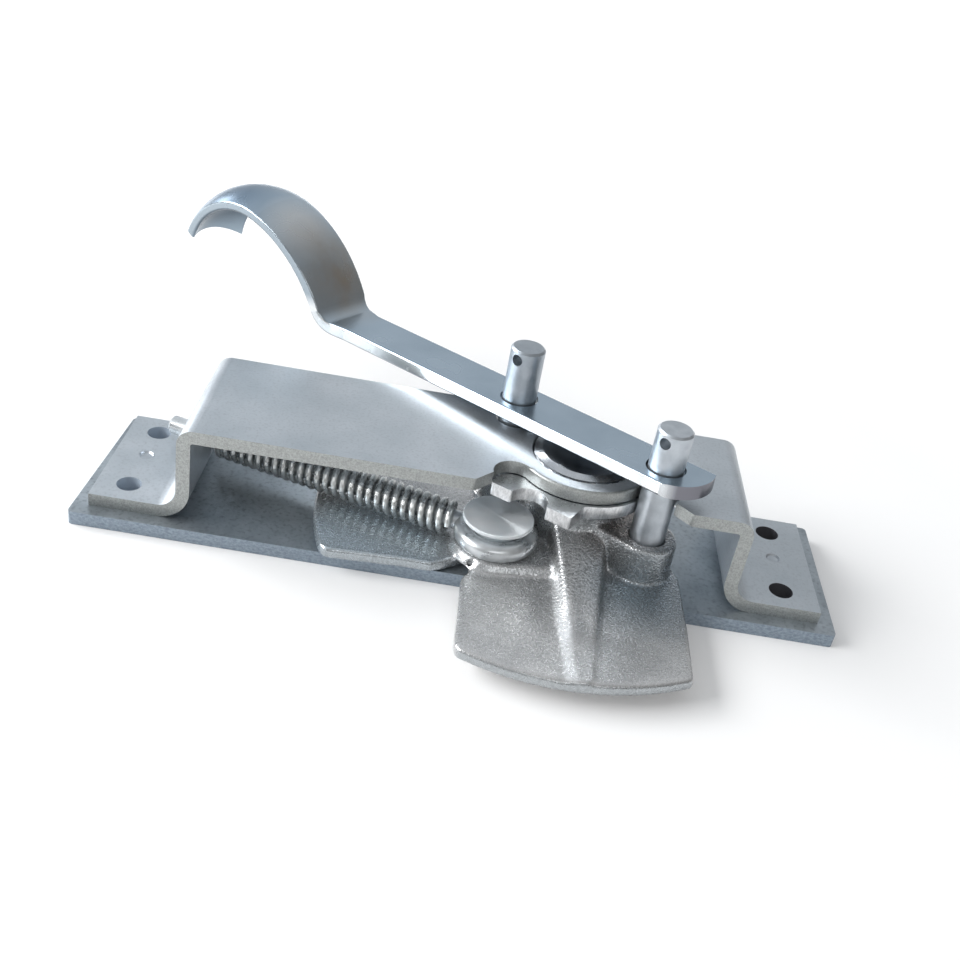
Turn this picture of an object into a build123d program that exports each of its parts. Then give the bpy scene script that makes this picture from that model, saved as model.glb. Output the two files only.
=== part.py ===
from build123d import *
from math import cos, radians, sin, tan
import os

os.makedirs("parts", exist_ok=True)

# All lengths are in millimetres.
# The origin is the middle of the base plate's underside.
# X runs along the plate, Y to the back, Z up.

# Base plate
base_length = 260.0
base_width = 64.0
base_thickness = 5.0
base_corner = 1.5
left_end_skew = 2.4

# Fixing holes and the rivet in each foot
left_hole_x = -113.8
right_hole_x = 111.8
hole_half_spacing = 17.4
fixing_hole_radius = 4.2
foot_rivet_radius = 3.0
foot_rivet_y = 1.9

# Bridge, one strip bent twice at each end
bridge_width = 53.4
bridge_thickness = 4.6
bridge_top_z = 40.1
left_foot_end = -124.6
right_foot_end = 124.4
left_wall_x = -93.2
right_wall_x = 91.8
top_bend = 3.2
foot_bend = 8.8
foot_top_z = base_thickness + bridge_thickness
bridge_under_z = bridge_top_z - bridge_thickness

# Front and back openings in the bridge, seen from the pivot
nose_radius = 23.4
nose_edge_rounding = 1.0
bridge_hole_radius = 17.9
hole_edge_rounding = 0.5
scallop_radius = 7.0
left_scallop_angle = -141.0
left_chamfer = (-30.2, -20.5)
left_chamfer_end = (-38.6, -30.0)
right_chamfer = (30.2, -21.1)
right_chamfer_end = (39.1, -30.0)
opening_corner = 2.0
opening_reach = 60.0

# Pivot and the two lever pins on one line through it
pivot_x = 37.2
pin_angle = -35.0
pin_circle = 30.16
lever_pin_radius = 6.0
front_pin_top = 65.0
rear_pin_top = 68.2
pin_chamfer = 0.7
cross_hole_radius = 2.0
cross_hole_depth = 3.4

# Pivot stud, riveted into the base plate
stud_radius = 8.0
stud_head_radius = 17.3
stud_rim_height = 0.3
stud_face_radius = 14.7
stud_face_z = 41.2
running_clearance = 0.05
stud_head_gap = 0.3

# Claw casting, whose points are seen from the pivot
claw_plate_gap = 0.25
claw_plate_thickness = 4.25
fan_radius = 81.5
fan_left_front = (-34.4, -90.0)
fan_left_back = (-35.2, -38.5)
fan_left_shoulder = (-31.2, -31.5)
fan_back_left = (-27.2, -10.0)
fan_back_right = (22.8, -4.0)
fan_right_shoulder = (35.3, -10.0)
fan_right_bulge = (39.0, -20.0)
fan_right_back = (39.9, -50.0)
fan_right_front = (39.9, -90.0)
fan_corner = 3.5
wing_radius = 89.5
wing_front_tip = (-97.2, -36.6)
wing_front_flat = (-56.0, -33.9)
wing_front_corner = (-45.9, -34.0)
wing_throat_start = (-41.7, -31.8)
wing_throat_middle = (-35.2, -26.8)
wing_throat_end = (-25.2, -22.0)
wing_front_root = (7.8, -10.0)
wing_back_root = (7.8, 20.0)
wing_back_corner = (-13.2, 29.5)
wing_back_tip = (-97.2, 29.5)
wing_corner = 5.0
hub_foot_radius = 24.0
claw_edge_rounding = 1.1
pad_top_z = 12.8
pad_foot_radius = 15.4
pad_radius = 13.0
pad_end = (-9.0, -17.5)
root_depth = 0.5
hub_radius = 18.0
hub_top_z = 30.6
journal_radius = 17.5
journal_top_z = 39.7
journal_chamfer = 0.5
boss_radius = 10.4
boss_top_z = 23.3
web_width = 20.4
blowhole = (-32.8, -32.6)
blowhole_radius = 0.9
blowhole_depth = 4.0
blowhole_middle = 1.5
claw_under_z = base_thickness + claw_plate_gap
claw_top_z = claw_under_z + claw_plate_thickness

# Its rib, at three places (left foot, left top, right top, right foot)
rib_front_y = -81.0
rib_front_z = 10.5
rib_front = (-0.6, 2.0, 6.2, 8.4)
rib_middle_y = -34.0
rib_middle_z = 15.2
rib_middle = (-4.8, -3.2, 10.4, 12.4)
rib_hub_y = -17.5
rib_hub_z = 21.0
rib_hub = (-8.2, -6.7, 10.4, 13.8)

# Index plate, keyed on the journal under the bridge
index_thickness = 4.6
index_radius = 24.7
index_face_angle = -117.7
index_face_distance = 31.0
index_block_width = 30.2
index_block_offset = -3.0
index_notch_radius = 6.4
index_notch_offset = -3.6
index_corner = 0.8
index_root_rounding = 3.0
keyed_clearance = 0.05
pin_groove_clearance = 0.1

# Spring pin, a mushroom head on a short neck
spring_pin_offset = 25.8
spring_pin_x = pivot_x - spring_pin_offset
spring_pin_y = -20.4
spring_pin_shank = 5.0
spring_pin_lift = 0.5
spring_pin_neck = 7.72
spring_pin_head = 12.0
head_under_z = 20.7
head_rim_under_z = 22.1
head_top_z = 23.3
head_rounding = 0.4

# Eye rod and its spring
eye_ring_radius = 11.1
rod_radius = 3.3
rod_z = 16.2
rod_angle = 163.76
rod_length = 124.7
rod_end_chamfer = 0.8
rod_slot_offset = 0.13
rod_slot_length = 15.8
rod_slot_height = 7.3
spring_outer_radius = 6.2
spring_wire_radius = 1.15
spring_pitch = 3.25
spring_start = 14.6
spring_turns = 27

# Hand lever
lever_width = 19.5
lever_thickness = 5.0
lever_top_z = 49.42
lever_drop = 1.9
lever_edge_rounding = 0.9
lever_hole_radius = 6.75
lever_end_front = 33.8
lever_end_middle = (-43.4, 2.2)
lever_end_back = 43.6

# Its hook, whose sections are (front, back, crown, thickness)
bar_length = 105.8
flare_length = 6.0
hook_bend_radius = 6.4
hook_bend_angle = 63.4
shank_radius = 52.5
shank_angle = 48.2
tip_arc_radius = 33.0
tip_arc_angle = 96.0
tip_cut_angle = 85.6
tip_slant = 18.5
bar_section = (lever_width / 2, lever_width / 2, 0, lever_thickness)
flare_section = (10.6, 11.5, 0, 4.8)
heel_section = (12.2, 14.1, 0, 4.3)
crest_section = (14.1, 14.1, 4.0, 3.7)
tip_section = (14.1, 14.1, 5.0, 4.1)

fixing_points = [
    (x, y)
    for x in (left_hole_x, right_hole_x)
    for y in (-hole_half_spacing, hole_half_spacing)
]
rivet_points = [(left_hole_x, foot_rivet_y), (right_hole_x, foot_rivet_y)]
front_pin = (
    pivot_x + pin_circle * cos(radians(pin_angle)),
    pin_circle * sin(radians(pin_angle)),
)
rear_pin = (2 * pivot_x - front_pin[0], -front_pin[1])
rod_at_wall_y = spring_pin_y - (spring_pin_x - left_wall_x) * tan(radians(rod_angle))


# Base plate
with BuildPart() as base_plate:
    with BuildSketch(Plane.XY) as plate_outline:
        # The left end was sheared a little out of square
        Polygon(
            (-base_length / 2, -base_width / 2),
            (base_length / 2, -base_width / 2),
            (base_length / 2, base_width / 2),
            (left_end_skew - base_length / 2, base_width / 2),
            align=None,
        )
        fillet(plate_outline.vertices(), base_corner)
        with Locations(fixing_points):
            Circle(fixing_hole_radius, mode=Mode.SUBTRACT)
        with Locations(rivet_points):
            Circle(foot_rivet_radius, mode=Mode.SUBTRACT)
        with Locations((pivot_x, 0)):
            Circle(stud_radius, mode=Mode.SUBTRACT)
    extrude(amount=base_thickness)

# Bridge plate
foot_middle_z = base_thickness + bridge_thickness / 2
top_middle_z = bridge_top_z - bridge_thickness / 2
with BuildPart() as bridge_plate:
    with BuildSketch(Plane.XZ):
        with BuildLine() as bent_strip:
            Polyline(
                (left_foot_end, foot_middle_z),
                (left_wall_x, foot_middle_z),
                (left_wall_x, top_middle_z),
                (right_wall_x, top_middle_z),
                (right_wall_x, foot_middle_z),
                (right_foot_end, foot_middle_z),
            )
            corners = bent_strip.vertices().sort_by(Axis.X)[1:-1]
            fillet(corners.group_by(Axis.Y)[-1], top_bend)
            corners = bent_strip.vertices().group_by(Axis.Y)[0]
            fillet(corners.sort_by(Axis.X)[1:-1], foot_bend)
        trace(line_width=bridge_thickness)
    extrude(amount=bridge_width / 2, both=True)
    # Openings that let the pins swing, one at the front and one at the back
    with BuildSketch(Plane.XY.offset(bridge_top_z + 1)):
        for turn in (0, 180):
            with Locations(Pos(pivot_x, 0) * Rot(0, 0, turn)):
                left_scallop = (
                    pin_circle * cos(radians(left_scallop_angle)),
                    pin_circle * sin(radians(left_scallop_angle)),
                )
                right_scallop = (
                    pin_circle * cos(radians(pin_angle)),
                    pin_circle * sin(radians(pin_angle)),
                )
                Polygon(
                    left_chamfer_end,
                    left_chamfer,
                    left_scallop,
                    (0, 0),
                    right_scallop,
                    right_chamfer,
                    right_chamfer_end,
                    align=None,
                )
                with Locations(left_scallop, right_scallop):
                    Circle(scallop_radius)
    extrude(amount=-bridge_thickness - 2, mode=Mode.SUBTRACT)
    outer_corners = (
        bridge_plate.edges()
        .filter_by(Axis.Z)
        .filter_by(lambda e: abs(abs(e.center().Y) - bridge_width / 2) < 0.01)
        .filter_by(lambda e: abs(e.center().X - pivot_x) < opening_reach)
        .filter_by(lambda e: e.center().Z > bridge_under_z)
    )
    fillet(outer_corners, opening_corner)
    # Round nose that carries the journal, with its top edge rounded
    with BuildSketch(Plane.XZ) as nose:
        with Locations((pivot_x + nose_radius / 2, top_middle_z)):
            Rectangle(nose_radius, bridge_thickness)
        fillet(nose.vertices().group_by(Axis.X)[-1].sort_by(Axis.Y)[-1], nose_edge_rounding)
    revolve(axis=Axis((pivot_x, 0, 0), (0, 0, 1)))
    with BuildSketch(Plane.XY.offset(bridge_top_z + 1)):
        with Locations((pivot_x, 0)):
            Circle(bridge_hole_radius)
    extrude(amount=-bridge_thickness - 2, mode=Mode.SUBTRACT)
    hole_rim = (
        bridge_plate.edges()
        .filter_by(GeomType.CIRCLE)
        .filter_by(lambda e: abs(e.radius - bridge_hole_radius) < 0.01)
        .sort_by(Axis.Z)[-1]
    )
    fillet(hole_rim, hole_edge_rounding)
    # Bolt and rivet holes through both feet
    with BuildSketch(Plane.XY.offset(foot_top_z + 1)):
        with Locations(fixing_points):
            Circle(fixing_hole_radius)
        with Locations(rivet_points):
            Circle(foot_rivet_radius)
    extrude(amount=-bridge_thickness - 2, mode=Mode.SUBTRACT)
    # Slot in the left wall, where the eye rod slides and swings
    with BuildSketch(Plane.YZ.offset(left_wall_x)):
        with Locations((rod_at_wall_y + rod_slot_offset, rod_z)):
            SlotOverall(rod_slot_length, rod_slot_height)
    extrude(amount=bridge_thickness - 0.4, both=True, mode=Mode.SUBTRACT)

# Rivets that hold the bridge's feet to the base plate
with BuildPart() as foot_rivets:
    with Locations(rivet_points):
        Cylinder(
            foot_rivet_radius,
            foot_top_z,
            align=(Align.CENTER, Align.CENTER, Align.MIN),
        )

# Pivot stud, with a low coned head that fills the bridge's hole
stud_head_z = journal_top_z + stud_head_gap
with BuildPart() as pivot_stud:
    with BuildSketch(Plane.XZ):
        with BuildLine():
            Polyline(
                (pivot_x, 0),
                (pivot_x + stud_radius, 0),
                (pivot_x + stud_radius, stud_head_z),
                (pivot_x + stud_head_radius, stud_head_z),
                (pivot_x + stud_head_radius, stud_head_z + stud_rim_height),
                (pivot_x + stud_face_radius, stud_face_z),
                (pivot_x, stud_face_z),
                close=True,
            )
        make_face()
    revolve(axis=Axis((pivot_x, 0, 0), (0, 0, 1)))

# Claw casting
with BuildPart() as claw_casting:
    # Fan that swings out in front of the plate
    with BuildSketch(Plane.XY.offset(claw_under_z)) as fan:
        with Locations((pivot_x, 0)):
            Circle(fan_radius)
            Polygon(
                fan_left_front,
                fan_left_back,
                fan_left_shoulder,
                fan_back_left,
                fan_back_right,
                fan_right_shoulder,
                fan_right_bulge,
                fan_right_back,
                fan_right_front,
                align=None,
                mode=Mode.INTERSECT,
            )
        fillet(fan.vertices().group_by(Axis.Y)[0], fan_corner)
        fillet(fan.vertices().sort_by(Axis.Y)[1], fan_corner)
    extrude(amount=claw_plate_thickness)
    # Wing that stays under the bridge
    with BuildSketch(Plane.XY.offset(claw_under_z)) as wing:
        with Locations((pivot_x, 0)):
            Circle(wing_radius)
            Polygon(
                wing_front_tip,
                wing_front_flat,
                wing_front_corner,
                wing_throat_start,
                wing_throat_middle,
                wing_throat_end,
                wing_front_root,
                wing_back_root,
                wing_back_corner,
                wing_back_tip,
                align=None,
                mode=Mode.INTERSECT,
            )
        wing_tips = wing.vertices().sort_by(Axis.X)[0:2]
        fillet(wing_tips, wing_corner)
    extrude(amount=claw_plate_thickness)
    with BuildSketch(Plane.XY.offset(claw_under_z)):
        with Locations((pivot_x, 0)):
            Circle(hub_foot_radius)
    extrude(amount=claw_plate_thickness)
    rim = claw_casting.edges().group_by(Axis.Z)[-1]
    fillet(rim, claw_edge_rounding)
    # Raised pad under the spring pin, with sloping sides
    for pad_z, reach in ((claw_top_z - root_depth, pad_foot_radius), (pad_top_z, pad_radius)):
        with BuildSketch(Plane.XY.offset(pad_z)):
            with BuildLine():
                CenterArc((spring_pin_x, spring_pin_y), reach, 0, 360)
                CenterArc((pivot_x + pad_end[0], pad_end[1]), reach, 0, 360)
            make_hull()
    loft(ruled=True)
    # Rib from the front edge up to the hub
    for rib_y, rib_z, (left_foot, left_top, right_top, right_foot) in (
        (rib_front_y, rib_front_z, rib_front),
        (rib_middle_y, rib_middle_z, rib_middle),
        (rib_hub_y, rib_hub_z, rib_hub),
    ):
        with BuildSketch(Plane.XZ.offset(-rib_y)):
            with Locations((pivot_x, 0)):
                Polygon(
                    (left_foot, claw_top_z - root_depth),
                    (right_foot, claw_top_z - root_depth),
                    (right_top, rib_z),
                    (left_top, rib_z),
                    align=None,
                )
    loft()
    # Hub, and the journal that turns in the bridge's hole
    with BuildSketch(Plane.XY.offset(claw_under_z)):
        with Locations((pivot_x, 0)):
            Circle(hub_radius)
    extrude(amount=hub_top_z - claw_under_z)
    # A boss and a web for each lever pin
    with BuildSketch(Plane.XY.offset(claw_under_z)):
        with Locations(front_pin, rear_pin):
            Circle(boss_radius)
        with Locations(Pos(pivot_x, 0) * Rot(0, 0, pin_angle)):
            Rectangle(2 * pin_circle, web_width)
    extrude(amount=boss_top_z - claw_under_z)
    with BuildSketch(Plane.XY.offset(hub_top_z)):
        with Locations((pivot_x, 0)):
            Circle(journal_radius)
    extrude(amount=journal_top_z - hub_top_z)
    chamfer(claw_casting.edges().group_by(Axis.Z)[-1], journal_chamfer)
    # Bore for the pivot stud, blind holes for the pins
    with BuildSketch(Plane.XY):
        with Locations((pivot_x, 0)):
            Circle(stud_radius + running_clearance)
    extrude(amount=journal_top_z + 1, mode=Mode.SUBTRACT)
    with BuildSketch(Plane.XY.offset(claw_top_z)):
        with Locations(front_pin, rear_pin):
            Circle(lever_pin_radius)
    extrude(amount=boss_top_z, mode=Mode.SUBTRACT)
    with BuildSketch(Plane.XY.offset(claw_under_z)):
        with Locations((spring_pin_x, spring_pin_y)):
            Circle(spring_pin_shank)
    extrude(amount=pad_top_z, mode=Mode.SUBTRACT)
    # Casting flaw beside the pad
    with Locations((pivot_x + blowhole[0], blowhole[1], claw_top_z + blowhole_middle)):
        Cylinder(blowhole_radius, blowhole_depth, rotation=(0, 50, 35), mode=Mode.SUBTRACT)

# Index plate, a round plate with a notched block on its front
with BuildPart() as index_plate:
    with BuildSketch(Plane.XY.offset(hub_top_z)) as index_outline:
        with Locations(Pos(pivot_x, 0) * Rot(0, 0, index_face_angle)):
            Circle(index_radius)
            with Locations((index_face_distance / 2, index_block_offset)):
                Rectangle(index_face_distance, index_block_width)
        from_pivot = index_outline.vertices().sort_by_distance((pivot_x, 0, hub_top_z))
        fillet(from_pivot[:2], index_root_rounding)
        with Locations(Pos(pivot_x, 0) * Rot(0, 0, index_face_angle)):
            with Locations((index_face_distance, index_notch_offset)):
                Circle(index_notch_radius, mode=Mode.SUBTRACT)
        from_pivot = index_outline.vertices().sort_by_distance((pivot_x, 0, hub_top_z))
        fillet(from_pivot[-4:], index_corner)
        with Locations((pivot_x, 0)):
            Circle(journal_radius + keyed_clearance, mode=Mode.SUBTRACT)
        with Locations(front_pin, rear_pin):
            Circle(lever_pin_radius + pin_groove_clearance, mode=Mode.SUBTRACT)
    extrude(amount=index_thickness)

# Lever pins, each cross-drilled near its top
pin_seat_z = claw_top_z
across_lever = (sin(radians(pin_angle)), -cos(radians(pin_angle)), 0)
with BuildPart() as front_lever_pin:
    with BuildSketch(Plane.XY.offset(pin_seat_z)):
        with Locations(front_pin):
            Circle(lever_pin_radius)
    extrude(amount=front_pin_top - pin_seat_z)
    chamfer(front_lever_pin.edges().group_by(Axis.Z)[-1], pin_chamfer)
    with BuildSketch(Plane((*front_pin, front_pin_top - cross_hole_depth), z_dir=across_lever)):
        Circle(cross_hole_radius)
    extrude(amount=lever_pin_radius + 1, both=True, mode=Mode.SUBTRACT)

with BuildPart() as rear_lever_pin:
    with BuildSketch(Plane.XY.offset(pin_seat_z)):
        with Locations(rear_pin):
            Circle(lever_pin_radius)
    extrude(amount=rear_pin_top - pin_seat_z)
    chamfer(rear_lever_pin.edges().group_by(Axis.Z)[-1], pin_chamfer)
    with BuildSketch(Plane((*rear_pin, rear_pin_top - cross_hole_depth), z_dir=across_lever)):
        Circle(cross_hole_radius)
    extrude(amount=lever_pin_radius + 1, both=True, mode=Mode.SUBTRACT)

# Spring pin, whose head is coned underneath
pin_under_z = claw_under_z + spring_pin_lift
with BuildPart() as spring_pin:
    with BuildSketch(Plane.XZ.offset(-spring_pin_y)) as half_pin:
        with BuildLine():
            Polyline(
                (spring_pin_x, pin_under_z),
                (spring_pin_x + spring_pin_shank, pin_under_z),
                (spring_pin_x + spring_pin_shank, pad_top_z),
                (spring_pin_x + spring_pin_neck, pad_top_z),
                (spring_pin_x + spring_pin_neck, head_under_z),
                (spring_pin_x + spring_pin_head, head_rim_under_z),
                (spring_pin_x + spring_pin_head, head_top_z),
                (spring_pin_x, head_top_z),
                close=True,
            )
        make_face()
        head_corner = half_pin.vertices().group_by(Axis.Y)[-1].sort_by(Axis.X)[-1]
        fillet(head_corner, head_rounding)
    revolve(axis=Axis((spring_pin_x, spring_pin_y, 0), (0, 0, 1)))

# Eye rod, a ring round the spring pin and a straight shank
rod_plane = Plane(
    (spring_pin_x, spring_pin_y, rod_z),
    x_dir=(-sin(radians(rod_angle)), cos(radians(rod_angle)), 0),
    z_dir=(cos(radians(rod_angle)), sin(radians(rod_angle)), 0),
)
with BuildPart() as eye_rod:
    with Locations((spring_pin_x, spring_pin_y, rod_z)):
        Torus(eye_ring_radius, rod_radius)
    with BuildSketch(rod_plane.offset(eye_ring_radius)):
        Circle(rod_radius)
    extrude(amount=rod_length - eye_ring_radius)
    rod_end = eye_rod.edges().filter_by(GeomType.CIRCLE).sort_by(Axis.X)[0]
    chamfer(rod_end, rod_end_chamfer)

# Return spring, wound round the rod between the eye and the bridge's wall
coil_radius = spring_outer_radius - spring_wire_radius
coil_start = rod_plane.offset(spring_start + spring_wire_radius)
with BuildPart() as return_spring:
    with BuildLine() as coil_path:
        Helix(
            spring_pitch,
            spring_pitch * spring_turns,
            coil_radius,
            center=coil_start.origin,
            direction=coil_start.z_dir,
        )
    wire = coil_path.edges()[0]
    with BuildSketch(Plane(wire @ 0, z_dir=wire % 0)):
        RegularPolygon(spring_wire_radius, 6)
    sweep(path=wire, is_frenet=True)

# Hand lever, a flat bar forged up into a hook
lever_along = (-cos(radians(pin_angle)), -sin(radians(pin_angle)))
lever_side = Plane(
    (pivot_x, 0, lever_top_z),
    x_dir=(
        lever_along[0] * cos(radians(lever_drop)),
        lever_along[1] * cos(radians(lever_drop)),
        -sin(radians(lever_drop)),
    ),
    z_dir=(lever_along[1], -lever_along[0], 0),
)
lever_top = Plane(
    lever_side.origin,
    x_dir=lever_side.x_dir,
    z_dir=lever_side.y_dir,
)
with BuildLine(lever_side):
    flare = Line((bar_length, 0), (bar_length + flare_length, 0))
    hook_bend = JernArc(flare @ 1, flare % 1, hook_bend_radius, hook_bend_angle)
    shank = JernArc(hook_bend @ 1, hook_bend % 1, shank_radius, -shank_angle)
    tip_arc = JernArc(shank @ 1, shank % 1, tip_arc_radius, -tip_arc_angle)
with BuildPart() as lever:
    # The bar, with its near end rounded off
    with BuildSketch(lever_top):
        with BuildLine():
            sides = Polyline(
                (-lever_end_front, lever_width / 2),
                (bar_length, lever_width / 2),
                (bar_length, -lever_width / 2),
                (-lever_end_back, -lever_width / 2),
            )
            ThreePointArc(sides @ 0, lever_end_middle, sides @ 1)
        make_face()
    extrude(amount=-lever_thickness)
    fillet(lever.edges().sort_by(Edge.length)[-4:], lever_edge_rounding)
    # The hook widens from the bend on and turns spoon-shaped towards the tip
    for path, start_section, end_section in (
        (flare, bar_section, flare_section),
        (hook_bend, flare_section, heel_section),
        (shank, heel_section, crest_section),
        (tip_arc, crest_section, tip_section),
    ):
        for end, (front, back, crown, thickness) in ((0, start_section), (1, end_section)):
            section_plane = Plane(path @ end, x_dir=-lever_side.z_dir, z_dir=path % end)
            with BuildSketch(section_plane) as section:
                with BuildLine():
                    if crown:
                        ThreePointArc((-back, 0), ((front - back) / 2, crown), (front, 0))
                    else:
                        Line((-back, 0), (front, 0))
                    Line((front, 0), (front, -thickness))
                    if crown:
                        ThreePointArc(
                            (front, -thickness),
                            ((front - back) / 2, crown - thickness),
                            (-back, -thickness),
                        )
                    else:
                        Line((front, -thickness), (-back, -thickness))
                    Line((-back, -thickness), (-back, 0))
                make_face()
                fillet(section.vertices(), lever_edge_rounding)
        sweep(path=path, multisection=True)
    # The tip is cut off square in side view and slanting across
    cut_place = tip_cut_angle / tip_arc_angle
    tip_cut = Plane(tip_arc @ cut_place, x_dir=-lever_side.z_dir, z_dir=tip_arc % cut_place)
    split(bisect_by=tip_cut.rotated((0, tip_slant, 0)), keep=Keep.BOTTOM)
    with BuildSketch(lever_top.offset(1)):
        with Locations((pin_circle, 0), (-pin_circle, 0)):
            Circle(lever_hole_radius)
    extrude(amount=-lever_thickness - 2, mode=Mode.SUBTRACT)

named = {
    "base_plate": base_plate,
    "bridge_plate": bridge_plate,
    "foot_rivets": foot_rivets,
    "pivot_stud": pivot_stud,
    "claw_casting": claw_casting,
    "index_plate": index_plate,
    "front_lever_pin": front_lever_pin,
    "rear_lever_pin": rear_lever_pin,
    "spring_pin": spring_pin,
    "eye_rod": eye_rod,
    "return_spring": return_spring,
    "lever": lever,
}
for name, piece in named.items():
    piece.part.label = name
    export_step(piece.part, "parts/" + name + ".step")
    print(name, len(piece.part.solids()), round(piece.part.volume))
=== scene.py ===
from math import radians, cos, sin, pi

import bpy
from mathutils import Matrix, Vector


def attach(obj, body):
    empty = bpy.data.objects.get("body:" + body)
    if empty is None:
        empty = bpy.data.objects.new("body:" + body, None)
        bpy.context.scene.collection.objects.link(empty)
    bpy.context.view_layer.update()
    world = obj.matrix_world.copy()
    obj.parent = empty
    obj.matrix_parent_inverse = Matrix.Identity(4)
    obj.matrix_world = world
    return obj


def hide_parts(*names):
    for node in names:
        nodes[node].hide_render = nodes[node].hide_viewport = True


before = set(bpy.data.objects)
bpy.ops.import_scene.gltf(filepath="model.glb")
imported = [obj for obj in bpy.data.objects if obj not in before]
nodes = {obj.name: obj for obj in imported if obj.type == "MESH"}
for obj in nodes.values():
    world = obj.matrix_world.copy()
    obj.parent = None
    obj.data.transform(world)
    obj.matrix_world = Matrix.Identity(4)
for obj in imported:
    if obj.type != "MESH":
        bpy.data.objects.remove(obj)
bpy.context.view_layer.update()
mm = 0.001
mergeDistance = 0.01 * mm
print("frame loaded:", len(nodes), "parts")


# camera, matched to the photograph
cameraSetup = {
    "lens": 44.419,  # millimetres on a sensor of this width
    "sensorWidth": 36,
    "clipStart": 0.01,
    "place": (-6.676, -348.237, 243.538),  # millimetres
    "right": (0.986315, 0.066323, 0.150946),
    "down": (0.162960, -0.531252, -0.831394),
    "ahead": (0.025050, 0.844614, -0.534790),
}
cameraData = bpy.data.cameras.new("photoCamera")
cameraData.lens = cameraSetup["lens"]
cameraData.sensor_width = cameraSetup["sensorWidth"]
cameraData.clip_start = cameraSetup["clipStart"]
camera = bpy.data.objects.new("photoCamera", cameraData)
bpy.context.scene.collection.objects.link(camera)
turn = Matrix(
    (
        Vector(cameraSetup["right"]),
        -Vector(cameraSetup["down"]),
        -Vector(cameraSetup["ahead"]),
    )
).transposed()
shift = Matrix.Translation(Vector(cameraSetup["place"]) * mm)
camera.matrix_world = shift @ turn.to_4x4()
bpy.context.scene.camera = camera
bpy.context.scene.view_settings.view_transform = "Standard"
print("camera placed")


# shader nodes: an input is fed by another node's output or by a fixed value
def feed(tree, socket, value):
    if isinstance(value, bpy.types.NodeSocket):
        tree.links.new(value, socket)
    elif socket.type == "RGBA":
        socket.default_value = (*value, 1)
    else:
        socket.default_value = value


def addNode(tree, kind, inputs=None, **settings):
    node = tree.nodes.new("ShaderNode" + kind)
    for name, setting in settings.items():
        setattr(node, name, setting)
    for key, value in (inputs or {}).items():
        feed(tree, node.inputs[key], value)
    return node


def compute(tree, operation, *values):
    node = addNode(tree, "Math", dict(enumerate(values)), operation=operation)
    return node.outputs[0]


def combine(tree, operation, *vectors):
    node = addNode(tree, "VectorMath", dict(enumerate(vectors)), operation=operation)
    return node.outputs


def product(tree, first, second):
    return compute(tree, "MULTIPLY", first, second)


def spread(tree, value, low, high, fromLow=0.3, fromHigh=0.7):
    # low to high while the value goes from fromLow to fromHigh
    inputs = {
        "Value": value,
        "From Min": fromLow,
        "From Max": fromHigh,
        "To Min": low,
        "To Max": high,
    }
    return addNode(tree, "MapRange", inputs).outputs["Result"]


def blend(tree, kind, factor, first, second):
    inputs = {"Factor": factor, "A": first, "B": second}
    return addNode(tree, "Mix", inputs, data_type=kind).outputs["Result"]


def blendColours(tree, factor, first, second):
    return blend(tree, "RGBA", factor, first, second)


def blendNumbers(tree, factor, first, second):
    return blend(tree, "FLOAT", factor, first, second)


# floor, studio light and lamps
lightSetup = {
    "floorSize": 8,
    "floorDrop": 0.00005,  # metres below the object, so that nothing flickers
    "floorColour": (0.90, 0.90, 0.90),
    "floorGlow": (0.10, 0.60),  # near the object and far from it
    "glowReach": (0.22, 0.80),  # metres
    "brightSide": (-0.55, 0.65, 0.53),  # the studio is brightest towards this side
    "skyStops": (
        (0.0, (0.17, 0.165, 0.16)),
        (0.5, (0.33, 0.33, 0.33)),
        (0.85, (0.59, 0.61, 0.63)),
        (1.0, (0.66, 0.70, 0.74)),
    ),
    "lamps": {  # place and size in metres, power in watts
        "keyLamp": ((-1.90, -0.05, 1.15), (2.2, 0.9), 62.0),
        "fillLamp": ((0.25, -1.3, 0.9), (1.0, 0.4), 2.5),
        "rimLamp": ((-1.30, 1.17, 0.60), (0.5, 0.5), 2.4),
    },
}
bpy.ops.object.select_all(action="DESELECT")
bpy.ops.mesh.primitive_plane_add(
    size=lightSetup["floorSize"], location=(0, 0, -lightSetup["floorDrop"])
)
floor = bpy.context.object
floor.name = "floor"
bpy.ops.object.transform_apply(location=True, rotation=True, scale=True)
floorPaint = bpy.data.materials.new("paleFloor")
floorPaint.use_nodes = True
tree = floorPaint.node_tree
tree.nodes.clear()
rays = addNode(tree, "LightPath").outputs
seen = compute(tree, "MAXIMUM", rays["Is Camera Ray"], rays["Is Glossy Ray"])
floorPlace = addNode(tree, "TexCoord").outputs["Object"]
away = combine(tree, "LENGTH", floorPlace)["Value"]
glow = spread(tree, away, *lightSetup["floorGlow"], *lightSetup["glowReach"])
floorFlat = addNode(tree, "BsdfDiffuse", {"Color": lightSetup["floorColour"]})
floorGlow = addNode(tree, "Emission", {"Strength": product(tree, seen, glow)})
floorShaders = {0: floorFlat.outputs[0], 1: floorGlow.outputs[0]}
floorSum = addNode(tree, "AddShader", floorShaders)
addNode(tree, "OutputMaterial", {"Surface": floorSum.outputs[0]})
floor.data.materials.append(floorPaint)

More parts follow.
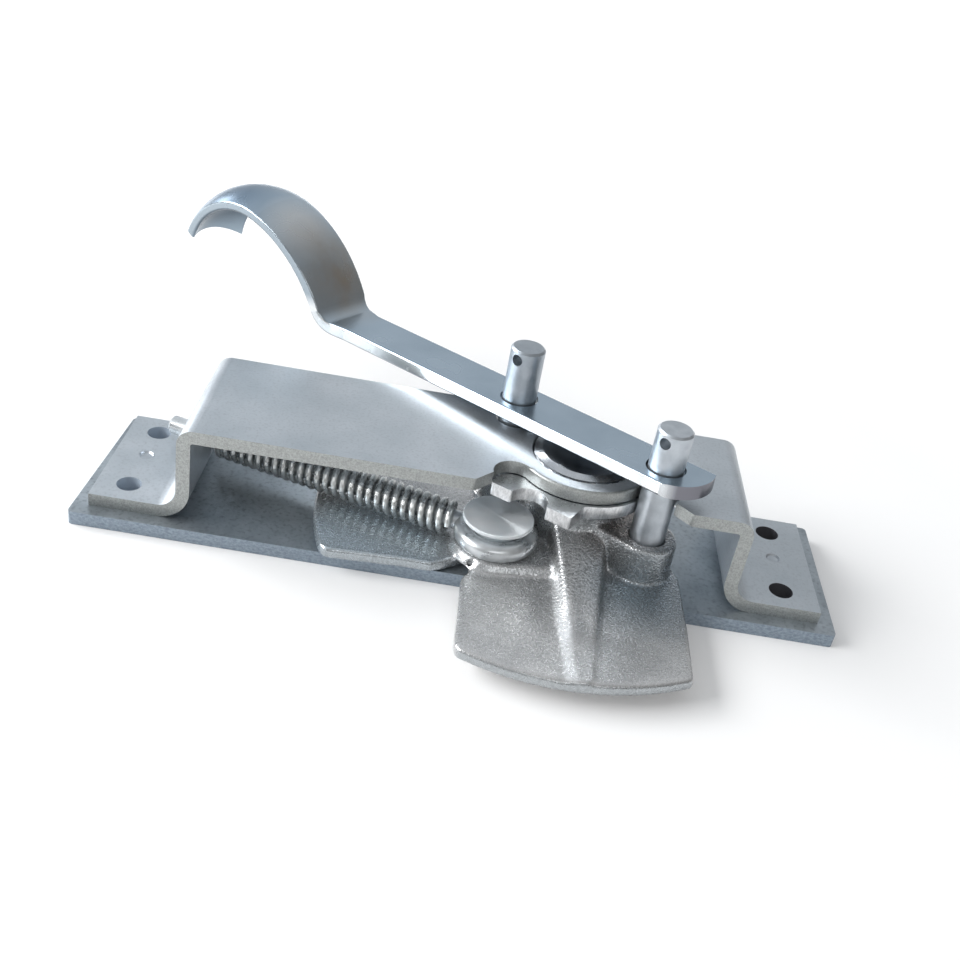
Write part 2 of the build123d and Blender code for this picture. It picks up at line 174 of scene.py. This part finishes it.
sky = bpy.data.worlds.new("studio")
bpy.context.scene.world = sky
sky.use_nodes = True
tree = sky.node_tree
tree.nodes.clear()
skyPlace = addNode(tree, "TexCoord").outputs["Generated"]
brightSide = Vector(lightSetup["brightSide"]).normalized()
towards = combine(tree, "DOT_PRODUCT", skyPlace, brightSide)["Value"]
skyRamp = addNode(tree, "ValToRGB", {"Fac": spread(tree, towards, 0, 1, -1, 1)})
stops = skyRamp.color_ramp.elements
while len(stops) < len(lightSetup["skyStops"]):
    stops.new(0.5)
for stop, (position, colour) in zip(stops, lightSetup["skyStops"]):
    stop.position = position
    stop.color = (*colour, 1)
rays = addNode(tree, "LightPath").outputs
skyColour = blendColours(
    tree, rays["Is Camera Ray"], skyRamp.outputs["Color"], (1, 1, 1)
)
skyBack = addNode(tree, "Background", {"Color": skyColour})
addNode(tree, "OutputWorld", {"Surface": skyBack.outputs[0]})

for name, (place, size, power) in lightSetup["lamps"].items():
    lampData = bpy.data.lights.new(name, "AREA")
    lampData.shape = "RECTANGLE"
    lampData.size, lampData.size_y = size
    lampData.energy = power
    lamp = bpy.data.objects.new(name, lampData)
    bpy.context.scene.collection.objects.link(lamp)
    lamp.location = place
    lamp.rotation_euler = (-Vector(place)).to_track_quat("-Z", "Y").to_euler()
print("floor and lamps ready")


# masks and bumps for the finishes
def component(tree, vector, axis):
    return addNode(tree, "SeparateXYZ", {0: vector}).outputs[axis]


def facingMask(tree, place, axis, fromLow, fromHigh):
    # 0 to 1 by how far a face looks along the axis, either way
    size = compute(tree, "ABSOLUTE", component(tree, place.outputs["Normal"], axis))
    return spread(tree, size, 0.0, 1.0, fromLow, fromHigh)


def facingOneWay(tree, place, direction, fromLow, fromHigh):
    # 0 to 1 by how far a face looks towards a direction
    direction = Vector(direction).normalized()
    side = combine(tree, "DOT_PRODUCT", place.outputs["Normal"], direction)["Value"]
    return spread(tree, side, 0.0, 1.0, fromLow, fromHigh)


def alongMask(tree, place, axis, fromLow, fromHigh):
    # 0 to 1 between two places on an axis, in millimetres
    spot = component(tree, place.outputs["Object"], axis)
    return spread(tree, spot, 0.0, 1.0, fromLow * mm, fromHigh * mm)


def nearMask(tree, place, point, inner, outer):
    # 1 within inner millimetres of a point, down to 0 at outer
    point = Vector(point) * mm
    gap = combine(tree, "DISTANCE", place.outputs["Object"], point)["Value"]
    return spread(tree, gap, 1.0, 0.0, inner * mm, outer * mm)


def addSpots(tree, place, colour, spots):
    # soft patches of other colours, each with its point, inner and outer reach
    for point, inner, outer, spotColour in spots:
        near = nearMask(tree, place, point, inner, outer)
        colour = blendColours(tree, near, colour, spotColour)
    return colour


def grain(tree, place, size, detail=3.0, rough=0.6, stretch=None):
    # noise whose lumps are about size millimetres wide
    spot = place.outputs["Object"]
    if stretch:
        mapping = addNode(tree, "Mapping", {"Vector": spot, "Scale": stretch})
        spot = mapping.outputs["Vector"]
    inputs = {
        "Vector": spot,
        "Scale": 1 / mm / size,
        "Detail": detail,
        "Roughness": rough,
    }
    return addNode(tree, "TexNoise", inputs).outputs["Fac"]


def addBump(tree, shader, height, depth):
    # depth in millimetres, on top of the bumps that are there already
    inputs = {"Height": height, "Distance": depth * mm, "Strength": 1.0}
    bump = addNode(tree, "Bump", inputs)
    earlier = shader.inputs["Normal"].links
    if earlier:
        tree.links.new(earlier[0].from_socket, bump.inputs["Normal"])
    tree.links.new(bump.outputs["Normal"], shader.inputs["Normal"])


def turnedSheen(tree, shader, place, centre, amount):
    # the sheen of fine turning marks round an upright axis
    centre = Vector(centre) * mm
    outward = combine(tree, "SUBTRACT", place.outputs["Object"], centre)["Vector"]
    around = combine(tree, "CROSS_PRODUCT", (0, 0, 1), outward)["Vector"]
    toWorld = addNode(
        tree,
        "VectorTransform",
        {"Vector": around},
        vector_type="VECTOR",
        convert_from="OBJECT",
        convert_to="WORLD",
    )
    tree.links.new(toWorld.outputs["Vector"], shader.inputs["Tangent"])
    shader.inputs["Anisotropic"].default_value = amount


def newFinish(name):
    finish = bpy.data.materials.new(name)
    finish.use_nodes = True
    tree = finish.node_tree
    return finish, tree, tree.nodes["Principled BSDF"], addNode(tree, "TexCoord")


def cloudyColour(tree, clouds, setup):
    return blendColours(tree, spread(tree, clouds, 0, 1), setup["dark"], setup["light"])


def coat(tree, shader, colour, metal, rough):
    feed(tree, shader.inputs["Base Color"], colour)
    feed(tree, shader.inputs["Metallic"], metal)
    feed(tree, shader.inputs["Roughness"], rough)


# the sheets' masks, and the painted light and shade that each fixing hole's bore shows
# to the camera: painted shade in the right bores, painted light in the left ones
sheetMasks = {
    "speck": (0.5, 0.72),
    "crumb": (0.36, 0.62),
    "upright": (0.8, 0.5),
    "bore": (6.6, 6.9),  # millimetres round the bore's middle
}
boreShadeAndLight = {
    (111.8, 17.4): (0.09, 0.09, 0.10),
    (111.8, -17.4): (0.09, 0.09, 0.10),
    (-113.8, 17.4): (0.37, 0.43, 0.50),
    (-113.8, -17.4): (0.37, 0.43, 0.50),
}


def platedSheet(name, setup):
    # rolled sheet with zinc plating: cloudy colour, fine grain, rougher sheared edges,
    # and painted light and shade in the fixing holes' bores
    finish, tree, shader, place = newFinish(name)
    clouds = grain(tree, place, setup["cloudSize"], detail=4.0, rough=0.62)
    fine = grain(tree, place, setup["grainSize"], detail=2.0, rough=0.55)
    specks = grain(tree, place, setup["speckSize"], detail=2.0, rough=0.5)
    specks = spread(tree, specks, 0, setup["speckAmount"], *sheetMasks["speck"])
    colour = cloudyColour(tree, clouds, setup)
    colour = blendColours(tree, specks, colour, setup["speck"])
    crumbs = grain(
        tree,
        place,
        setup["edgeGrain"],
        detail=3.0,
        rough=0.7,
        stretch=setup["edgeStretch"],
    )
    edgeColour = blendColours(
        tree,
        spread(tree, crumbs, 0, 1, *sheetMasks["crumb"]),
        setup["edgeDark"],
        setup["edgeLight"],
    )
    edge = facingMask(tree, place, *setup["edge"])
    colour = blendColours(tree, edge, colour, edgeColour)
    metal = setup["metal"]
    # painted light and shade in the bores: a flat colour instead of metal, dark on the
    # right and a lit blue-grey on the left
    if setup["boreHeight"]:
        upright = facingMask(tree, place, "Z", *sheetMasks["upright"])
        for spot, boreLitOrShaded in boreShadeAndLight.items():
            middle = (*spot, setup["boreHeight"])
            bore = nearMask(tree, place, middle, *sheetMasks["bore"])
            bore = product(tree, bore, upright)
            colour = blendColours(tree, bore, colour, boreLitOrShaded)
            metal = blendNumbers(tree, bore, metal, 0.0)
    rough = spread(tree, clouds, *setup["rough"])
    rough = blendNumbers(tree, edge, rough, setup["edgeRough"])
    coat(tree, shader, colour, metal, rough)
    flat = 0.5
    edgeHeight = blendNumbers(tree, edge, flat, crumbs)
    addBump(tree, shader, fine, setup["grainDepth"])
    addBump(tree, shader, edgeHeight, setup["edgeDepth"])
    addBump(tree, shader, clouds, setup["waveDepth"])
    return finish


bridgeFinish = {
    "metal": 0.9,
    "dark": (0.50, 0.55, 0.59),
    "light": (0.61, 0.65, 0.69),
    "speck": (0.40, 0.43, 0.46),
    "speckAmount": 0.4,
    "cloudSize": 22.0,
    "grainSize": 0.7,
    "speckSize": 1.0,
    "rough": (0.37, 0.49),
    "grainDepth": 0.016,
    "waveDepth": 0.03,
    "edge": ("Y", 0.2, 0.45),
    "edgeGrain": 0.5,
    "edgeStretch": None,
    "edgeDark": (0.30, 0.31, 0.305),
    "edgeLight": (0.46, 0.48, 0.47),
    "edgeRough": 0.44,
    "edgeDepth": 0.045,
    "boreHeight": 7.0,
}
baseFinish = {
    "metal": 0.85,
    "dark": (0.30, 0.34, 0.375),
    "light": (0.47, 0.52, 0.56),
    "speck": (0.20, 0.225, 0.25),
    "speckAmount": 0.55,
    "cloudSize": 14.0,
    "grainSize": 0.9,
    "speckSize": 1.6,
    "rough": (0.30, 0.44),
    "grainDepth": 0.04,
    "waveDepth": 0.05,
    "edge": ("Z", 0.8, 0.5),
    "edgeGrain": 0.8,
    "edgeStretch": (0.6, 1.0, 1.0),
    "edgeDark": (0.21, 0.25, 0.30),
    "edgeLight": (0.33, 0.395, 0.46),
    "edgeRough": 0.44,
    "edgeDepth": 0.06,
    "boreHeight": 2.5,
}
indexFinish = {
    "metal": 1.0,
    "dark": (0.56, 0.59, 0.62),
    "light": (0.70, 0.72, 0.74),
    "speck": (0.42, 0.43, 0.44),
    "speckAmount": 0.35,
    "cloudSize": 9.0,
    "grainSize": 0.6,
    "speckSize": 1.2,
    "rough": (0.24, 0.34),
    "grainDepth": 0.012,
    "waveDepth": 0.03,
    "edge": ("Z", 0.8, 0.5),
    "edgeGrain": 1.0,
    "edgeStretch": (1.0, 1.0, 0.5),
    "edgeDark": (0.56, 0.57, 0.58),
    "edgeLight": (0.82, 0.83, 0.84),
    "edgeRough": 0.28,
    "edgeDepth": 0.05,
    "boreHeight": None,
}


ringStretch = (0.05, 0.05, 1.0)  # rings lie across an upright axis


def turnedSteel(name, setup):
    # lathe-turned or drawn bar: smooth, with faint rings and a fine grain
    finish, tree, shader, place = newFinish(name)
    clouds = grain(tree, place, setup["cloudSize"], detail=3.0, rough=0.55)
    fine = grain(tree, place, setup["grainSize"], detail=2.0, rough=0.5)
    rings = grain(
        tree, place, setup["ringSize"], detail=2.0, rough=0.5, stretch=ringStretch
    )
    colour = cloudyColour(tree, clouds, setup)
    coat(tree, shader, colour, setup["metal"], spread(tree, clouds, *setup["rough"]))
    addBump(tree, shader, rings, setup["ringDepth"])
    addBump(tree, shader, fine, setup["grainDepth"])
    if "turnedRound" in setup:
        turnedSheen(tree, shader, place, setup["turnedRound"], setup["turnedAmount"])
    return finish


pinFinish = {
    "metal": 0.9,
    "dark": (0.44, 0.48, 0.52),
    "light": (0.60, 0.64, 0.68),
    "rough": (0.32, 0.44),
    "cloudSize": 5.0,
    "grainSize": 0.8,
    "grainDepth": 0.04,
    "ringSize": 0.6,
    "ringDepth": 0.006,
}
rearPinFinish = pinFinish | {
    "dark": (0.34, 0.38, 0.42),
    "light": (0.48, 0.52, 0.56),
    "grainDepth": 0.03,
}
# painted sheen: the spring pin's near-white colour and lower metal brighten its head,
# which sits in shade
springPinFinish = {
    "metal": 0.6,
    "dark": (0.84, 0.90, 0.93),
    "light": (0.95, 0.98, 1.0),
    "rough": (0.40, 0.48),
    "cloudSize": 8.0,
    "grainSize": 0.6,
    "grainDepth": 0.006,
    "ringSize": 0.8,
    "ringDepth": 0.004,
    "turnedRound": (11.4, -20.4, 0.0),
    "turnedAmount": 0.95,
}
studFinish = {
    "metal": 1.0,
    "dark": (0.54, 0.56, 0.59),
    "light": (0.68, 0.71, 0.74),
    "rough": (0.22, 0.30),
    "cloudSize": 9.0,
    "grainSize": 0.5,
    "grainDepth": 0.006,
    "ringSize": 0.5,
    "ringDepth": 0.004,
    "turnedRound": (37.2, 0.0, 0.0),
    "turnedAmount": 0.7,
}
eyeFinish = {
    "metal": 0.8,
    "dark": (0.52, 0.55, 0.57),
    "light": (0.72, 0.75, 0.77),
    "rough": (0.24, 0.36),
    "cloudSize": 5.0,
    "grainSize": 0.6,
    "grainDepth": 0.015,
    "ringSize": 0.9,
    "ringDepth": 0.006,
}
wireFinish = {
    "metal": 0.85,
    "dark": (0.48, 0.50, 0.50),
    "light": (0.72, 0.74, 0.73),
    "rough": (0.22, 0.34),
    "cloudSize": 6.0,
    "grainSize": 0.6,
    "grainDepth": 0.008,
    "ringSize": 0.7,
    "ringDepth": 0.003,
}


castFinish = {
    "metal": 0.8,
    "dark": (0.52, 0.525, 0.53),
    "light": (0.70, 0.70, 0.70),
    "rough": (0.36, 0.22),  # in the hollows and on the lumps
    # painted shade: a dark blue patch on the fan's right; painted light: a pale blue
    # patch on the wing under the bridge
    "shadeAndLightSpots": (
        ((60.0, -32.0, 10.0), 4.0, 26.0, (0.30, 0.36, 0.405)),
        ((-30.0, -30.0, 8.0), 20.0, 32.0, (0.60, 0.68, 0.74)),
    ),
    # the rib's painted highlight, a pale strip along its left foot
    "ribSide": (0.993, 0.117, 0.0),  # across the rib's left foot
    "ribPlace": 29.1,
    "ribReach": (1.1, 2.7),
    "ribHeight": (9.0, 9.6),
    "ribStart": (-22.0, -34.0),
    "ribHighlightColour": (0.96, 0.97, 0.98),
    # painted shade: a warm brown patch in blotches by the front boss
    "castWarmShade": (0.33, 0.27, 0.235),
    "castWarmShadePlace": (54.0, -12.0, 20.0),
    "castWarmShadeReach": (6.0, 20.0),
    "castWarmShadePatches": (0.55, 1.0),
    # painted shade on faces that look to the front
    "front": (0.40, 0.43, 0.45),
    "frontFacing": ((0.0, -1.0, 0.0), 0.5, 0.9),
    "frontAmount": 0.8,
    "coarsePlace": (50.0, -26.0, 12.0),
    "coarseReach": (12.0, 36.0),
    "pit": (0.22, 0.225, 0.235),
    "pitAmount": (0.7, 0.0),
    "pitMask": (0.36, 0.5),
    "pitWhereFine": 0.35,
    "cloudSize": 16.0,
    "grainSize": 0.85,
    "grainDepth": (0.11, 0.34),  # where the skin is fine and where it is coarse
    "fineSize": 0.45,
    "fineDepth": 0.04,
}


def castMetal(name, setup):
    # sand-cast skin: lumpy grain with dark hollows between bright lumps
    finish, tree, shader, place = newFinish(name)
    clouds = grain(tree, place, setup["cloudSize"], detail=3.0, rough=0.55)
    lumps = grain(tree, place, setup["grainSize"], detail=1.5, rough=0.5)
    fine = grain(tree, place, setup["fineSize"], detail=2.0, rough=0.5)
    colour = cloudyColour(tree, clouds, setup)
    # painted shade on the fan's right and painted light on the wing
    colour = addSpots(tree, place, colour, setup["shadeAndLightSpots"])

    # a painted highlight: a pale strip along the rib's left foot, where the fillet
    # catches the light
    across = combine(tree, "DOT_PRODUCT", place.outputs["Object"], setup["ribSide"])
    aside = compute(tree, "SUBTRACT", across["Value"], setup["ribPlace"] * mm)
    aside = compute(tree, "ABSOLUTE", aside)
    inner, outer = setup["ribReach"]
    rib = spread(tree, aside, 1.0, 0.0, inner * mm, outer * mm)
    rib = product(tree, rib, alongMask(tree, place, "Z", *setup["ribHeight"]))
    rib = product(tree, rib, alongMask(tree, place, "Y", *setup["ribStart"]))
    colour = blendColours(tree, rib, colour, setup["ribHighlightColour"])

    # painted warm shade in blotches by the front boss
    castWarmShadeMask = nearMask(tree, place, setup["castWarmShadePlace"], *setup["castWarmShadeReach"])
    castWarmShadeMask = product(tree, castWarmShadeMask, spread(tree, clouds, *setup["castWarmShadePatches"]))
    colour = blendColours(tree, castWarmShadeMask, colour, setup["castWarmShade"])
    # painted shade: faces that look to the front are darker
    front = facingOneWay(tree, place, *setup["frontFacing"])
    front = blendNumbers(tree, front, 0.0, setup["frontAmount"])
    colour = blendColours(tree, front, colour, setup["front"])
    coarse = nearMask(tree, place, setup["coarsePlace"], *setup["coarseReach"])
    hollow = spread(tree, lumps, *setup["pitAmount"], *setup["pitMask"])
    pitShare = blendNumbers(tree, coarse, setup["pitWhereFine"], 1.0)
    hollow = product(tree, hollow, pitShare)
    colour = blendColours(tree, hollow, colour, setup["pit"])
    coat(tree, shader, colour, setup["metal"], spread(tree, lumps, *setup["rough"]))
    shallow, deep = setup["grainDepth"]
    depthShare = blendNumbers(tree, coarse, shallow / deep, 1.0)
    addBump(tree, shader, product(tree, lumps, depthShare), deep)
    addBump(tree, shader, fine, setup["fineDepth"])
    return finish


leverFinish = {
    "metal": 1.0,
    "dark": (0.38, 0.47, 0.55),
    "light": (0.46, 0.555, 0.64),
    "spots": (  # painted shade on the hook's crown, and a painted highlight on its bend
        ((-110.0, 92.0, 76.0), 10.0, 28.0, (0.225, 0.30, 0.385)),
        ((-78.0, 78.0, 73.0), 5.0, 17.0, (0.62, 0.65, 0.67)),
    ),
    # painted warm shade on the hook, in blotches
    "leverWarmShade": (0.40, 0.355, 0.30),
    "tintPlace": (-62.0, 74.0, 58.0),
    "tintReach": (3.0, 26.0),
    "tintSize": 9.0,
    "tintPatches": (0.55, 1.0),
    # painted light on the faces that look to the front and left, painted shade on them
    # up on the hook
    "litSideColour": (0.80, 0.83, 0.85),
    "sideFacing": ((-0.574, -0.819, 0.0), 0.6, 0.9),
    "hookSideShade": (0.36, 0.42, 0.47),
    "hookHeight": (49.5, 54.0),
    # painted shade on the faces of the lever's right end
    "endShade": (0.20, 0.20, 0.225),
    "endFacing": ((0.819, -0.574, 0.0), 0.3, 0.6),
    "endPlace": (68.3, -21.8, 47.0),
    "endReach": (22.0, 25.0),
    # painted shade on the undersides
    "under": (0.12, 0.15, 0.18),
    "underFacing": ((0.0, 0.0, -1.0), 0.1, 0.5),
    "cloudSize": 26.0,
    "grainSize": 0.7,
    "rough": (0.20, 0.30),
    "grainDepth": 0.012,
    "waveDepth": 0.06,
}


def forgedLever(name, setup):
    # plated flat bar, a little wavy where it was forged, with painted light and shade:
    # warm shade on the hook, shade on its crown, end, underside and hook side, light on
    # its front side and bend
    finish, tree, shader, place = newFinish(name)
    clouds = grain(tree, place, setup["cloudSize"], detail=3.0, rough=0.55)
    fine = grain(tree, place, setup["grainSize"], detail=2.0, rough=0.5)
    colour = cloudyColour(tree, clouds, setup)
    # painted shade on the hook's crown and a painted highlight on its bend
    colour = addSpots(tree, place, colour, setup["spots"])
    # painted warm shade on the hook, in blotches
    leverWarmShade = nearMask(tree, place, setup["tintPlace"], *setup["tintReach"])
    patches = spread(tree, grain(tree, place, setup["tintSize"]), *setup["tintPatches"])
    colour = blendColours(tree, product(tree, leverWarmShade, patches), colour, setup["leverWarmShade"])
    # painted light on the front-left faces, painted shade on them up on the hook
    side = facingOneWay(tree, place, *setup["sideFacing"])
    upHook = alongMask(tree, place, "Z", *setup["hookHeight"])
    litSideColour = blendColours(tree, upHook, setup["litSideColour"], setup["hookSideShade"])
    colour = blendColours(tree, side, colour, litSideColour)
    # painted shade on the lever's right end
    end = facingOneWay(tree, place, *setup["endFacing"])
    nearEnd = nearMask(tree, place, setup["endPlace"], *setup["endReach"])
    end = product(tree, end, nearEnd)
    colour = blendColours(tree, end, colour, setup["endShade"])
    # painted shade on faces that look down
    under = facingOneWay(tree, place, *setup["underFacing"])
    colour = blendColours(tree, under, colour, setup["under"])
    coat(tree, shader, colour, setup["metal"], spread(tree, clouds, *setup["rough"]))
    addBump(tree, shader, fine, setup["grainDepth"])
    addBump(tree, shader, clouds, setup["waveDepth"])
    return finish


finishes = {
    "base_plate": platedSheet("basePlateZinc", baseFinish),
    "bridge_plate": platedSheet("bridgeZinc", bridgeFinish),
    "foot_rivets": turnedSteel("rivetSteel", pinFinish),
    "pivot_stud": turnedSteel("studSteel", studFinish),
    "claw_casting": castMetal("clawCasting", castFinish),
    "index_plate": platedSheet("indexZinc", indexFinish),
    "front_lever_pin": turnedSteel("leverPinSteel", pinFinish),
    "rear_lever_pin": turnedSteel("rearPinSteel", rearPinFinish),
    "spring_pin": turnedSteel("springPinSteel", springPinFinish),
    "eye_rod": turnedSteel("eyeRodSteel", eyeFinish),
    "return_spring": turnedSteel("springWire", wireFinish),
    "lever": forgedLever("leverZinc", leverFinish),
}
for nodeName, finish in finishes.items():
    slots = nodes[nodeName].data.materials
    if len(slots) == 0:
        slots.append(finish)
    for i in range(len(slots)):
        slots[i] = finish
print("finishes on the parts")


# softened edges on the parts that keep their own solid
edgeSetup = {
    "widths": {"base_plate": 0.5, "bridge_plate": 0.45, "index_plate": 0.6},
    "segments": 3,
    "angle": 40,
}
for nodeName, width in edgeSetup["widths"].items():
    weld = nodes[nodeName].modifiers.new("weld", "WELD")
    weld.merge_threshold = mergeDistance
    bevel = nodes[nodeName].modifiers.new("edges", "BEVEL")
    bevel.width = width * mm
    bevel.segments = edgeSetup["segments"]
    bevel.limit_method = "ANGLE"
    bevel.angle_limit = radians(edgeSetup["angle"])
print("edges softened")


# steps that the new pieces share
def selectOnly(*pieces):
    bpy.ops.object.select_all(action="DESELECT")
    for piece in pieces:
        piece.select_set(True)
    bpy.context.view_layer.objects.active = pieces[0]


def applyAll(piece):
    selectOnly(piece)
    for modifier in list(piece.modifiers):
        bpy.ops.object.modifier_apply(modifier=modifier.name)
    bpy.ops.object.transform_apply(location=True, rotation=True, scale=True)


def smoothAll(piece, factor, steps, groupName=""):
    smooth = piece.modifiers.new("smooth", "SMOOTH")
    smooth.factor = factor
    smooth.iterations = steps
    smooth.vertex_group = groupName
    applyAll(piece)


def copyNode(nodeName, pieceName):
    # a merged copy of a part's mesh, free to be worked on
    nodes[nodeName].hide_set(False)
    selectOnly(nodes[nodeName])
    bpy.ops.object.duplicate()
    piece = bpy.context.object
    piece.name = pieceName
    piece.modifiers.clear()
    bpy.ops.object.mode_set(mode="EDIT")
    bpy.ops.mesh.select_all(action="SELECT")
    bpy.ops.mesh.remove_doubles(threshold=mergeDistance)
    bpy.ops.object.mode_set(mode="OBJECT")
    return piece


def cutLevel(piece, level, keepBelow):
    # cuts the piece at a height in millimetres and closes the cut
    selectOnly(piece)
    bpy.ops.object.mode_set(mode="EDIT")
    bpy.ops.mesh.select_all(action="SELECT")
    bpy.ops.mesh.bisect(
        plane_co=(0, 0, level * mm),
        plane_no=(0, 0, 1),
        use_fill=True,
        clear_outer=keepBelow,
        clear_inner=not keepBelow,
    )
    bpy.ops.object.mode_set(mode="OBJECT")


def ease(value, start, end):
    # a soft step from 0 at start to 1 at end
    share = min(max((value - start) / (end - start), 0.0), 1.0)
    return share * share * (3 - 2 * share)


# claw: the sand-cast body has soft corners, the turned journal keeps its crisp ones
clawSetup = {
    "journalStart": 29.6,
    "journalAngle": 30,
    "voxel": 0.62,
    "smoothing": 0.6,
    "softenSteps": 15,
    "filletLine": ((31.4, -24.0), (38.0, -80.0)),  # left foot of the rib, x and y
    "filletReach": (2.6, 6.0),
    "filletBottom": 8.6,
    "filletFade": (-50.0, -64.0, 0.35),  # less smoothing towards the front
    "filletSteps": 45,
    "ridge": (0.9, -0.8, 2.0, 9.0),  # height; foot, crest and far side from the line
    "ridgeStart": (-30.0, -48.0),
    "tipTop": 9.8,  # before the rim the rib is no higher, so that the spring clears it
    "tipReach": (-58.0, -68.0),
    "blowhole": (4.2, -31.9, 10.4),
    "blowholeRadius": 0.95,
    "blowholeDepth": 4.0,
    "blowholeSides": 24,
    "blowholeFacing": (-0.15, -0.80, 0.55),
}
clawBody = copyNode("claw_casting", "claw_body")
cutLevel(clawBody, clawSetup["journalStart"], True)
remesh = clawBody.modifiers.new("skin", "REMESH")
remesh.mode = "VOXEL"
remesh.voxel_size = clawSetup["voxel"] * mm
smoothAll(clawBody, clawSetup["smoothing"], clawSetup["softenSteps"])

# a wider fillet on the rib's left side, a crest above it, and a lower tip
near, far = (Vector(end) * mm for end in clawSetup["filletLine"])
line = far - near
rightward = Vector((-line.y, line.x)).normalized()
inner, outer = clawSetup["filletReach"]
fadeStart, fadeEnd, fadeLow = clawSetup["filletFade"]
height, foot, crest, farSide = clawSetup["ridge"]
closeness = clawBody.vertex_groups.new(name="fillet")
for vertex in clawBody.data.vertices:
    if vertex.co.z < clawSetup["filletBottom"] * mm:
        continue
    depth = vertex.co.y / mm
    spot = vertex.co.xy - near
    share = min(max(spot.dot(line) / line.length_squared, 0.0), 1.0)
    gap = (spot - line * share).length / mm
    if gap < outer:
        fade = 1 - (1 - fadeLow) * ease(depth, fadeStart, fadeEnd)
        weight = fade * min((outer - gap) / (outer - inner), 1.0)
        closeness.add([vertex.index], weight, "REPLACE")
    aside = spot.dot(rightward) / mm
    if foot < aside < farSide and share < 1:
        rise = ease(aside, foot, crest) * (1 - ease(aside, crest, farSide))
        rise *= ease(depth, *clawSetup["ridgeStart"])
        vertex.co.z += height * rise * mm
    above = max(vertex.co.z - clawSetup["tipTop"] * mm, 0.0)
    vertex.co.z -= above * ease(depth, *clawSetup["tipReach"])
smoothAll(clawBody, clawSetup["smoothing"], clawSetup["filletSteps"], "fillet")
print("rib worked:", len(clawBody.data.polygons), "faces")

# the small blowhole beside the spring pin
bpy.ops.mesh.primitive_cylinder_add(
    vertices=clawSetup["blowholeSides"],
    radius=clawSetup["blowholeRadius"] * mm,
    depth=clawSetup["blowholeDepth"] * mm,
    location=Vector(clawSetup["blowhole"]) * mm,
    rotation=Vector(clawSetup["blowholeFacing"]).to_track_quat("Z", "Y").to_euler(),
)
drill = bpy.context.object
bore = clawBody.modifiers.new("blowhole", "BOOLEAN")
bore.operation = "DIFFERENCE"
bore.object = drill
applyAll(clawBody)
bpy.data.objects.remove(drill)
bpy.ops.object.shade_smooth()
print("blowhole drilled:", len(clawBody.data.polygons), "faces")

clawJournal = copyNode("claw_casting", "claw_journal")
cutLevel(clawJournal, clawSetup["journalStart"], False)
bpy.ops.object.shade_smooth_by_angle(angle=radians(clawSetup["journalAngle"]))
clawFinishes = (
    (clawBody, finishes["claw_casting"]),
    (clawJournal, finishes["pivot_stud"]),
)
for piece, finish in clawFinishes:
    piece.data.materials.clear()
    piece.data.materials.append(finish)
    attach(piece, "claw")
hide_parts("claw_casting")
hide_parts("claw_casting")
print("claw cast:", len(clawBody.data.polygons), "faces")


# foot rivets, with their ends dished by the riveting punch
rivetSetup = {
    "places": ((-113.8, 1.9), (111.8, 1.9)),
    "radius": 3.0,
    "top": 9.6,
    "sides": 48,
    "insets": ((0.5, 0.0), (0.55, 0.55), (0.88, 0.135)),  # each step's width and depth
    "smoothAngle": 25,
}
rivets = []
for x, y in rivetSetup["places"]:
    bpy.ops.mesh.primitive_cylinder_add(
        vertices=rivetSetup["sides"],
        radius=rivetSetup["radius"] * mm,
        depth=rivetSetup["top"] * mm,
        location=Vector((x, y, rivetSetup["top"] / 2)) * mm,
    )
    rivet = bpy.context.object
    bpy.ops.object.transform_apply(location=True, rotation=True, scale=True)
    for face in rivet.data.polygons:
        face.select = face.normal.z > 0.5
    for vertex in rivet.data.vertices:
        vertex.select = vertex.co.z > rivetSetup["top"] / 2 * mm
    for edge in rivet.data.edges:
        edge.select = all(rivet.data.vertices[i].select for i in edge.vertices)
    bpy.ops.object.mode_set(mode="EDIT")
    bpy.ops.mesh.select_mode(type="FACE")
    for width, depth in rivetSetup["insets"]:
        bpy.ops.mesh.inset(thickness=width * mm, depth=-depth * mm)
    bpy.ops.object.mode_set(mode="OBJECT")
    rivets.append(rivet)
selectOnly(*rivets)
bpy.ops.object.join()
rivets = bpy.context.object
rivets.name = "dished_rivets"
bpy.ops.object.shade_smooth_by_angle(angle=radians(rivetSetup["smoothAngle"]))
rivets.data.materials.clear()
rivets.data.materials.append(finishes["foot_rivets"])
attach(rivets, "base")
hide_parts("foot_rivets")
print("rivets dished")


# return spring, wound round the rod
springSetup = {
    "wire": 1.15,
    "wireSides": 12,
    "coil": 5.05,
    "coilSteps": 28,
    "pitch": 3.25,
    "turns": 27,
    "start": 14.6,  # from the middle of the rod's eye
    "eye": (11.4, -20.4, 16.2),
    "heading": 163.76,  # degrees
}
bpy.ops.mesh.primitive_circle_add(
    vertices=springSetup["wireSides"],
    radius=springSetup["wire"] * mm,
    fill_type="NGON",
    location=(springSetup["coil"] * mm, 0, 0),
    rotation=(radians(90), 0, 0),
)
spring = bpy.context.object
spring.name = "wound_spring"
bpy.ops.object.transform_apply(location=True, rotation=True, scale=True)
screw = spring.modifiers.new("coils", "SCREW")
screw.axis = "Z"
screw.angle = 2 * pi
screw.screw_offset = springSetup["pitch"] * mm
screw.iterations = springSetup["turns"]
screw.steps = springSetup["coilSteps"]
screw.render_steps = springSetup["coilSteps"]
applyAll(spring)
heading = radians(springSetup["heading"])
along = Vector((cos(heading), sin(heading), 0))
offset = springSetup["start"] + springSetup["wire"]
start = Vector(springSetup["eye"]) + along * offset
turned = along.to_track_quat("Z", "Y").to_matrix().to_4x4()
spring.matrix_world = Matrix.Translation(start * mm) @ turned
applyAll(spring)
spring.data.materials.append(finishes["return_spring"])
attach(spring, "rod")
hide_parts("return_spring")
print("spring wound")
